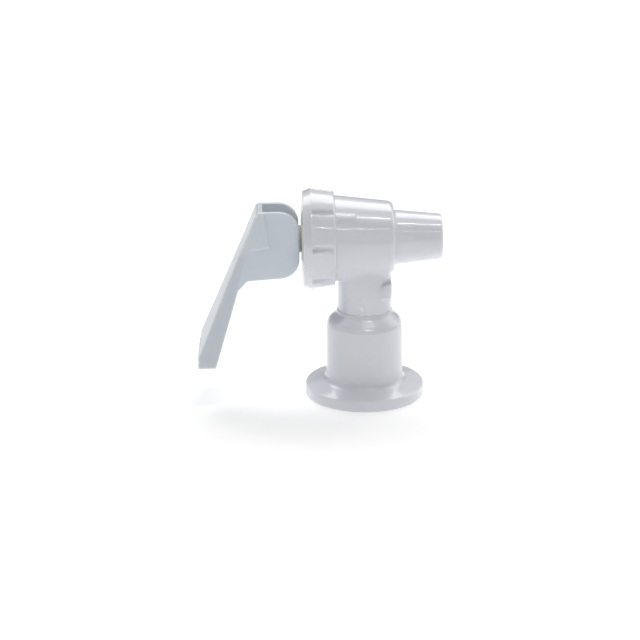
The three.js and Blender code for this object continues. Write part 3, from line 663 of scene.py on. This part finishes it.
def grip_ribs(x, y, z, tip_face):
    """Distance to the ribs on the tip: |y| folded by their pitch, and a low rounded bar."""
    across = np.minimum(y, np.minimum(np.abs(y - RIB_PITCH), np.abs(y - 2 * RIB_PITCH)))
    bar = meet(across - RIB_WIDTH / 2, tip_face - RIB_HEIGHT - x, 0.25)
    return meet(meet(bar, between(z, RIB_LOW, RIB_HIGH), 0.4), x - tip_face - 1.0)


lever = netted("lever_moulding", lever_field, lever_low, lever_high, 0.3)

# %% [markdown]
# The stem is turned acetal with a cross eye for the pin, the straightener is a ring with crossed vanes
# in the spout's mouth, and the retaining ring is a flat split ring. They are small and have joints and
# gaps too, so the same distance net makes them.

# %% Stem, straightener and retaining ring
EYE = 4.2  # radius of the cross eye
EYE_HALF = stem_high[1]
RING_WIDTH = 2.5
RING_GAP = 4.8  # the split in the ring
TUBE_WALL = 0.9
VANE = 0.9  # thickness of a vane


def stem_field(x, y, z):
    """Distance to the stem: a rod with a head, and a drilled cross eye round the pin."""
    up = z - AXIS
    round_x, round_pin = np.hypot(y, up), np.hypot(x - PIVOT, up)
    shaft = meet(round_x - STEM, between(x, PIVOT, HEAD_START + 0.5))
    head = meet(round_x - HEAD, between(x, HEAD_START, HEAD_END), 0.3)
    eye = meet(round_pin - EYE, np.abs(y) - EYE_HALF, 0.5)
    return cut(join(join(shaft, head, 0.2), eye, 0.8), round_pin - PIN - 0.15, 0.2)


def straightener_field(x, y, z):
    """Distance to the flow straightener: a thin ring and two crossed vanes with rounded lips."""
    up = z - AXIS
    round_x = np.hypot(y, up)
    outer = straightener_high[1]
    shell = np.maximum(outer - TUBE_WALL - round_x, round_x - outer)
    vanes = meet(np.minimum(np.abs(y), np.abs(up)) - VANE / 2, round_x - outer + 0.4)
    return meet(join(shell, vanes, 0.4), between(x, straightener_low[0], straightener_high[0]), 0.25)


def ring_field(x, y, z):
    """Distance to the split ring under the bell's roof."""
    round_z = np.hypot(x, y)
    band = between(round_z, ring_high[1] - RING_WIDTH, ring_high[1])
    flat = meet(band, between(z, ring_low[2], ring_high[2]), 0.2)
    return cut(flat, np.maximum(np.abs(y) - RING_GAP / 2, -x), 0.3)


stem = netted("valve_stem_rod", stem_field, stem_low, stem_high, 0.24)
straightener = netted("flow_straightener_vanes", straightener_field, straightener_low, straightener_high, 0.2)
split_ring = netted("bell_retaining_ring_split", ring_field, ring_low, ring_high, 0.25)

# %% [markdown]
# Every new piece stands for its imported node and rides on that node's body. The spring and the cup cross
# the valve's slide, so here they ride on no body: their places are baked into their meshes.

# %% Riding on the bodies
pieces = {
    "tap_body": (tap, "tap", "white_moulding"),
    "mounting_bell": (bell, "tap", "white_moulding"),
    "bonnet": (bonnet, "tap", "white_moulding"),
    "bell_retaining_ring": (split_ring, "tap", "acetal"),
    "inlet_washer": (washer, "tap", "seal_rubber"),
    "flow_straightener": (straightener, "tap", "acetal"),
    "stem_bush": (bush, "tap", "acetal"),
    "spring_retainer": (retainer, "seat", "acetal"),
    "valve_stem": (stem, "stem", "acetal"),
    "pivot_pin": (pin, "stem", "stainless_wire"),
    "lever": (lever, "lever", "lever_moulding"),
    "closing_spring": (spring, None, "stainless_wire"),
    "seat_cup": (cup, None, "silicone"),
}
for node, (piece, body, slot) in pieces.items():
    if body:
        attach(piece, body)
    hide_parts(node)

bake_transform(spring)
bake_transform(cup)

# %% [markdown]
# Colours are written as the sRGB hex values that a colour chart gives, and one function makes them
# linear for the shader. Another adds a node to a material with its settings and links, so each material
# reads as a list of what it is made of.

# %% Colour and node helpers
def linear(hex_colour):
    """Linear RGBA of an sRGB hex value: each channel c is c / 12.92, or ((c + 0.055) / 1.055) ^ 2.4."""
    c = np.array([int(hex_colour[i:i + 2], 16) for i in (1, 3, 5)]) / 255
    c = np.where(c <= 0.04045, c / 12.92, ((c + 0.055) / 1.055) ** 2.4)
    return (*c.tolist(), 1.0)


def material(name):
    """An empty node material and its Principled shader."""
    made = bpy.data.materials.new(name)
    made.use_nodes = True
    return made, made.node_tree.nodes["Principled BSDF"]


def node(mat, kind, settings=None, values=None, links=None):
    """Adds a node: settings are its properties, values its sockets, links what feeds its sockets."""
    made = mat.node_tree.nodes.new(kind)
    for key, value in (settings or {}).items():
        setattr(made, key, value)
    for key, value in (values or {}).items():
        made.inputs[key].default_value = value
    for key, value in (links or {}).items():
        mat.node_tree.links.new(value, made.inputs[key])
    return made


def wire_up(mat, shader, links):
    """Links output sockets to the shader's inputs."""
    for key, value in links.items():
        mat.node_tree.links.new(value, shader.inputs[key])


# %% [markdown]
# Injection-moulded polypropylene is a dense white with a soft, slightly waxy gloss. Close to, the
# surface has a fine orange peel from the mould's polish, slow waves where thick walls sank as they
# cooled, hair scratches from handling, and faint grey scuffs. Its convex edges are painted paler: partly
# a painted highlight where rounded edges catch the light, partly a little rubbing wear. The ABS of the
# lever is the same process in a cooler white with a harder gloss, so one function makes both.

# %% Moulded plastics
PEEL = 0.0009  # metres between the grains of the orange peel, drawn coarse enough to show
SINK = 0.014  # metres between sink waves
SCUFF = 0.006  # metres across a scuff
HAIR = 0.009  # metres between hair scratches, before they are stretched
DRIFT = 0.02  # metres over which the tint drifts


def moulded_plastic(name, tints, gloss, peel_depth, scuff_tint, inner_light, coat):
    """White injection moulding: tint drift, orange peel, sink waves, hair scratches, scuffs, and a painted
    highlight on convex edges.
    """
    mat, shader = material(name)
    place = node(mat, "ShaderNodeTexCoord").outputs["Object"]
    drift = node(mat, "ShaderNodeTexNoise", values={"Scale": 1 / DRIFT, "Detail": 3.0, "Roughness": 0.55},
                 links={"Vector": place}).outputs["Fac"]
    tint = node(mat, "ShaderNodeValToRGB", links={"Fac": drift})
    tint.color_ramp.elements[0].position, tint.color_ramp.elements[1].position = 0.32, 0.68
    tint.color_ramp.elements[0].color, tint.color_ramp.elements[1].color = linear(tints[0]), linear(tints[1])
    scuffs = node(mat, "ShaderNodeTexNoise", values={"Scale": 1 / SCUFF, "Detail": 8.0, "Roughness": 0.7},
                  links={"Vector": place}).outputs["Fac"]
    scuffs = node(mat, "ShaderNodeMapRange", values={"From Min": 0.6, "From Max": 0.78, "To Max": 0.35},
                  links={"Value": scuffs}).outputs["Result"]
    mapped = node(mat, "ShaderNodeMapping", values={"Scale": (1.0, 14.0, 5.0), "Rotation": (0.3, 0.5, 0.9)},
                  links={"Vector": place}).outputs["Vector"]
    hairs = node(mat, "ShaderNodeTexNoise", values={"Scale": 1 / HAIR, "Detail": 5.0, "Roughness": 0.6},
                 links={"Vector": mapped}).outputs["Fac"]
    hairs = node(mat, "ShaderNodeMapRange", values={"From Min": 0.66, "From Max": 0.74},
                 links={"Value": hairs}).outputs["Result"]
    colour = node(mat, "ShaderNodeMix", {"data_type": "RGBA"}, {7: linear(scuff_tint)},
                  {0: scuffs, 6: tint.outputs["Color"]}).outputs[2]
    # Painted highlight: convex edges, found by pointiness, are mixed towards a paler white. This stands in
    # for the light that rounded edges catch, with a little rubbing wear.
    edge = node(mat, "ShaderNodeMapRange", values={"From Min": 0.51, "From Max": 0.56, "To Max": 0.7},
                links={"Value": node(mat, "ShaderNodeNewGeometry").outputs["Pointiness"]}).outputs["Result"]
    colour = node(mat, "ShaderNodeMix", {"data_type": "RGBA"}, {7: linear("#F4F5F7")},
                  {0: edge, 6: colour}).outputs[2]
    rough = node(mat, "ShaderNodeMapRange", values={"To Min": gloss - 0.04, "To Max": gloss + 0.05},
                 links={"Value": drift}).outputs["Result"]
    rough = node(mat, "ShaderNodeMath", {"operation": "MULTIPLY_ADD"}, {1: 0.12},
                 {0: hairs, 2: rough}).outputs["Value"]
    rough = node(mat, "ShaderNodeMath", {"operation": "MULTIPLY_ADD"}, {1: 0.3},
                 {0: scuffs, 2: rough}).outputs["Value"]
    sink = node(mat, "ShaderNodeTexNoise", values={"Scale": 1 / SINK, "Detail": 1.0}, links={"Vector": place})
    peel = node(mat, "ShaderNodeTexNoise", values={"Scale": 1 / PEEL, "Detail": 2.0}, links={"Vector": place})
    waves = node(mat, "ShaderNodeBump", values={"Strength": 0.5, "Distance": 0.0004},
                 links={"Height": sink.outputs["Fac"]})
    grain = node(mat, "ShaderNodeBump", values={"Strength": 0.35, "Distance": peel_depth},
                 links={"Height": peel.outputs["Fac"], "Normal": waves.outputs["Normal"]})
    marks = node(mat, "ShaderNodeBump", {"invert": True}, {"Strength": 0.25, "Distance": 0.00001},
                 {"Height": hairs, "Normal": grain.outputs["Normal"]})
    shader.inputs["IOR"].default_value = 1.49
    shader.inputs["Subsurface Weight"].default_value = inner_light
    shader.inputs["Subsurface Radius"].default_value = (1.0, 0.9, 0.8)
    shader.inputs["Subsurface Scale"].default_value = 0.0025
    shader.inputs["Coat Weight"].default_value = coat
    shader.inputs["Coat Roughness"].default_value = 0.06
    wire_up(mat, shader, {"Base Color": colour, "Roughness": rough, "Normal": marks.outputs["Normal"]})
    return mat


polypropylene = moulded_plastic(
    "moulded_polypropylene_white", tints=("#E0E2E9", "#E4E6EC"), gloss=0.3, peel_depth=0.00002,
    scuff_tint="#D5D6D9", inner_light=0.3, coat=0.6)
abs_lever = moulded_plastic(
    "moulded_abs_cool_white", tints=("#D3DAE2", "#D8DFE6"), gloss=0.34, peel_depth=0.000015,
    scuff_tint="#CAD0D7", inner_light=0.5, coat=0.05)

# %% [markdown]
# Natural acetal is creamier and waxier than the outer mouldings, and it is machined or moulded to a
# satin. Nitrile rubber is nearly black and dusty-matt, with mould talc left in it. Silicone is a milky,
# translucent rubber. Spring wire is drawn through a die, which leaves fine lines along it.

# %% Working materials
CLOUD = 0.004  # metres across a cloud in acetal
TURNING = 0.0022  # metres between the bands of its turning lines
SPECK = 0.0012  # metres across a speck in rubber
DIE_LINE = 0.0015  # metres between the die lines of drawn wire, before they are stretched


def waxy_acetal():
    """Natural acetal: cream with a faint cloudiness and fine turning lines."""
    mat, shader = material("natural_acetal_cream")
    place = node(mat, "ShaderNodeTexCoord").outputs["Object"]
    cloud = node(mat, "ShaderNodeTexNoise", values={"Scale": 1 / CLOUD, "Detail": 4.0},
                 links={"Vector": place})
    tint = node(mat, "ShaderNodeMix", {"data_type": "RGBA"}, {6: linear("#CFCDBB"), 7: linear("#D9D7C9")},
                {0: cloud.outputs["Fac"]})
    lines = node(mat, "ShaderNodeTexWave", {"bands_direction": "X"},
                 {"Scale": 1 / TURNING, "Distortion": 0.6, "Detail": 2.0}, {"Vector": place})
    bump = node(mat, "ShaderNodeBump", values={"Strength": 0.25, "Distance": 0.00001},
                links={"Height": lines.outputs["Fac"]})
    rough = node(mat, "ShaderNodeMapRange", values={"To Min": 0.36, "To Max": 0.5},
                 links={"Value": cloud.outputs["Fac"]})
    shader.inputs["IOR"].default_value = 1.48
    shader.inputs["Subsurface Weight"].default_value = 0.15
    shader.inputs["Subsurface Radius"].default_value = (1.0, 0.9, 0.7)
    shader.inputs["Subsurface Scale"].default_value = 0.001
    wire_up(mat, shader, {"Base Color": tint.outputs[2], "Roughness": rough.outputs["Result"],
                          "Normal": bump.outputs["Normal"]})
    return mat


def dusty_rubber(name, dark, pale, gloss, see_through):
    """Moulded rubber: two tints in fine speckle, a matt grain, and a little light inside silicone."""
    mat, shader = material(name)
    place = node(mat, "ShaderNodeTexCoord").outputs["Object"]
    speck = node(mat, "ShaderNodeTexNoise", values={"Scale": 1 / SPECK, "Detail": 6.0, "Roughness": 0.65},
                 links={"Vector": place})
    tint = node(mat, "ShaderNodeMix", {"data_type": "RGBA"}, {6: linear(dark), 7: linear(pale)},
                {0: speck.outputs["Fac"]})
    bump = node(mat, "ShaderNodeBump", values={"Strength": 0.4, "Distance": 0.00002},
                links={"Height": speck.outputs["Fac"]})
    rough = node(mat, "ShaderNodeMapRange", values={"To Min": gloss - 0.08, "To Max": gloss + 0.1},
                 links={"Value": speck.outputs["Fac"]})
    shader.inputs["IOR"].default_value = 1.45
    shader.inputs["Subsurface Weight"].default_value = see_through
    shader.inputs["Subsurface Scale"].default_value = 0.002
    wire_up(mat, shader, {"Base Color": tint.outputs[2], "Roughness": rough.outputs["Result"],
                          "Normal": bump.outputs["Normal"]})
    return mat


def drawn_wire():
    """Drawn stainless wire: fine die lines in the roughness and the bump."""
    mat, shader = material("drawn_stainless_wire")
    place = node(mat, "ShaderNodeTexCoord").outputs["Object"]
    mapped = node(mat, "ShaderNodeMapping", values={"Scale": (1.0, 9.0, 9.0)}, links={"Vector": place})
    lines = node(mat, "ShaderNodeTexNoise", values={"Scale": 1 / DIE_LINE, "Detail": 4.0},
                 links={"Vector": mapped.outputs["Vector"]})
    tint = node(mat, "ShaderNodeMix", {"data_type": "RGBA"}, {6: linear("#A9ABAD"), 7: linear("#C6C8C9")},
                {0: lines.outputs["Fac"]})
    rough = node(mat, "ShaderNodeMapRange", values={"To Min": 0.16, "To Max": 0.36},
                 links={"Value": lines.outputs["Fac"]})
    bump = node(mat, "ShaderNodeBump", values={"Strength": 0.3, "Distance": 0.000008},
                links={"Height": lines.outputs["Fac"]})
    shader.inputs["Metallic"].default_value = 1.0
    wire_up(mat, shader, {"Base Color": tint.outputs[2], "Roughness": rough.outputs["Result"],
                          "Normal": bump.outputs["Normal"]})
    return mat


finishes = {
    "white_moulding": polypropylene,
    "lever_moulding": abs_lever,
    "acetal": waxy_acetal(),
    "seal_rubber": dusty_rubber("nitrile_rubber_black", "#1B1B1D", "#2B2B2D", 0.7, 0.0),
    "silicone": dusty_rubber("silicone_milky", "#CFD1D2", "#DADCDC", 0.5, 0.3),
    "stainless_wire": drawn_wire(),
}
for piece, _, slot in pieces.values():
    piece.data.materials.append(finishes[slot])
for name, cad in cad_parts.items():
    cad.data.materials.clear()
    cad.data.materials.append(finishes[pieces[name][2]])
print("finishes", len(finishes))

# %% [markdown]
# White goods are shown on a light table: a pale, slightly glowing surface that fades the shadow and
# lights the piece from below. It glows more towards the back, so that the camera sees no horizon. Large
# soft boxes behind and at the sides do most of the rest, a weaker one in front fills the faces turned to
# the viewer, and two narrow strips draw the highlights.

# %% Light table and lights
TABLE_SIZE = 6.0
GLOW_RISES = (0.3, 0.8)  # metres behind the tap between which the table's glow grows to full
TABLE_DROP = 0.0002  # metres the table lies below the flange
table_mesh = bpy.data.meshes.new("light_table")
edge = TABLE_SIZE / 2
table_corners = [(-edge, -edge, 0), (edge, -edge, 0), (edge, edge, 0), (-edge, edge, 0)]
table_mesh.from_pydata(table_corners, [], [(0, 1, 2, 3)])
table = bpy.data.objects.new("light_table", table_mesh)
bpy.context.scene.collection.objects.link(table)
table_mesh.transform(Matrix.Translation((0, 0, -TABLE_DROP)))
acrylic, acrylic_shader = material("light_table_acrylic")
acrylic_shader.inputs["Base Color"].default_value = linear("#E4E4E4")
acrylic_shader.inputs["Roughness"].default_value = 0.9
acrylic_shader.inputs["Emission Color"].default_value = (1, 1, 1, 1)
place = node(acrylic, "ShaderNodeTexCoord").outputs["Object"]
behind = node(acrylic, "ShaderNodeSeparateXYZ", links={"Vector": place}).outputs["Y"]
glow = node(acrylic, "ShaderNodeMapRange",
            values={"From Min": GLOW_RISES[0], "From Max": GLOW_RISES[1], "To Min": 0.39, "To Max": 1.0},
            links={"Value": behind}).outputs["Result"]
wire_up(acrylic, acrylic_shader, {"Emission Strength": glow})
table_mesh.materials.append(acrylic)

room = bpy.data.worlds.new("studio_room")
bpy.context.scene.world = room
room.use_nodes = True
room.node_tree.nodes["Background"].inputs["Color"].default_value = (1, 1, 1, 1)
room.node_tree.nodes["Background"].inputs["Strength"].default_value = 0.02

AIM = Vector((-0.015, 0, 0.045))


def soft_box(name, place, size, power):
    """A rectangular area light that faces the tap."""
    data = bpy.data.lights.new(name, "AREA")
    data.shape = "RECTANGLE"
    data.size, data.size_y = size
    data.energy = power
    lamp = bpy.data.objects.new(name, data)
    lamp.location = place
    lamp.rotation_euler = (AIM - Vector(place)).to_track_quat("-Z", "Y").to_euler()
    bpy.context.scene.collection.objects.link(lamp)
    return lamp


soft_box("box_behind", (0, 0.5, 0.8), (1.2, 0.5), 6.9)
soft_box("box_left", (-0.75, 0.4, 0.45), (0.7, 0.6), 0.5)
soft_box("box_left_low", (-0.8, -0.1, 0.2), (0.5, 0.4), 0.6)
soft_box("box_right", (0.8, 0.3, 0.4), (0.7, 0.6), 1.9)
soft_box("box_front", (0, -0.9, 0.4), (0.9, 0.4), 0.7)
soft_box("strip_front", (0.05, -0.66, 0.62), (0.5, 0.02), 0.7)
soft_box("strip_high", (0.07, -0.25, 0.88), (0.5, 0.03), 2.1)

# %% [markdown]
# The camera stands a little above the tap, almost square to its side, with a long lens. Its direction
# is given by two angles and a small roll, and its aim by the distance and two shifts in its own plane.

# %% Camera
AZIMUTH, ELEVATION, ROLL = np.radians([1.72, 19.37, -0.53])
SENSOR, LENS = 36, 95.6  # millimetres
DISTANCE, SHIFT_RIGHT, SHIFT_UP, AIM_HEIGHT = 0.6418, -0.01678, -0.01053, 0.040
toward = np.array([
    -np.sin(AZIMUTH) * np.cos(ELEVATION),
    -np.cos(AZIMUTH) * np.cos(ELEVATION),
    np.sin(ELEVATION),
])
level = np.array([np.cos(AZIMUTH), -np.sin(AZIMUTH), 0])
upright = np.cross(toward, level)
right = level * np.cos(ROLL) + upright * np.sin(ROLL)
above = upright * np.cos(ROLL) - level * np.sin(ROLL)
eye = np.array([0, 0, AIM_HEIGHT]) + SHIFT_RIGHT * right + SHIFT_UP * above + DISTANCE * toward

camera = bpy.data.objects.new("camera", bpy.data.cameras.new("camera"))
camera.data.sensor_width = SENSOR
camera.data.lens = LENS
camera.data.clip_start, camera.data.clip_end = 0.01, 20
columns = np.stack([right, above, toward, eye], 1)
camera.matrix_world = Matrix([*columns.tolist(), [0, 0, 0, 1]])
bpy.context.scene.collection.objects.link(camera)
bpy.context.scene.camera = camera
bpy.context.scene.view_settings.view_transform = "Standard"
